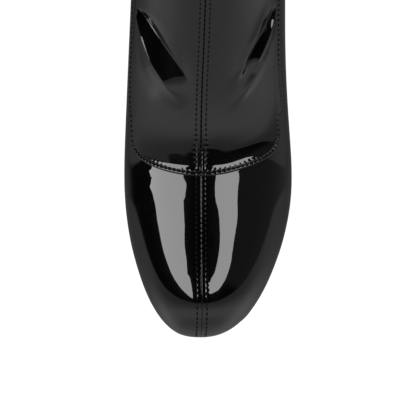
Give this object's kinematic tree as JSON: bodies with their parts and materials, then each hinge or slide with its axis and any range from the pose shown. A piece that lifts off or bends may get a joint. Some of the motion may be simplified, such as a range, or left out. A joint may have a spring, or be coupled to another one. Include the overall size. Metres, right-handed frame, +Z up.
{
  "type": "platform ankle boot",
  "caption": "Women's left ankle boot in black patent leather: hollow upper with a shaft open at the collar, raked platform sole, arched shank and high block heel.",
  "frame": {"origin": "on the floor, under the middle of the boot's bounding box", "axes": "+Z up; -Y towards the toe and +Y towards the heel; -X towards the inner side of the foot"},
  "size_m": [0.093, 0.2332, 0.262],
  "materials": {
    "patent_leather": "high gloss black patent",
    "insole_lining": "matt black lining",
    "platform_cover": "glossy black leather cover",
    "outsole_rubber": "matt black rubber",
    "heel_cover": "glossy black leather cover",
    "top_piece_rubber": "matt black rubber"
  },
  "bodies": {
    "root": {"upper": "patent_leather", "insole": "insole_lining", "platform": "platform_cover", "outsole": "outsole_rubber", "heel": "heel_cover", "heel_top_piece": "top_piece_rubber"}
  },
  "joints": []
}
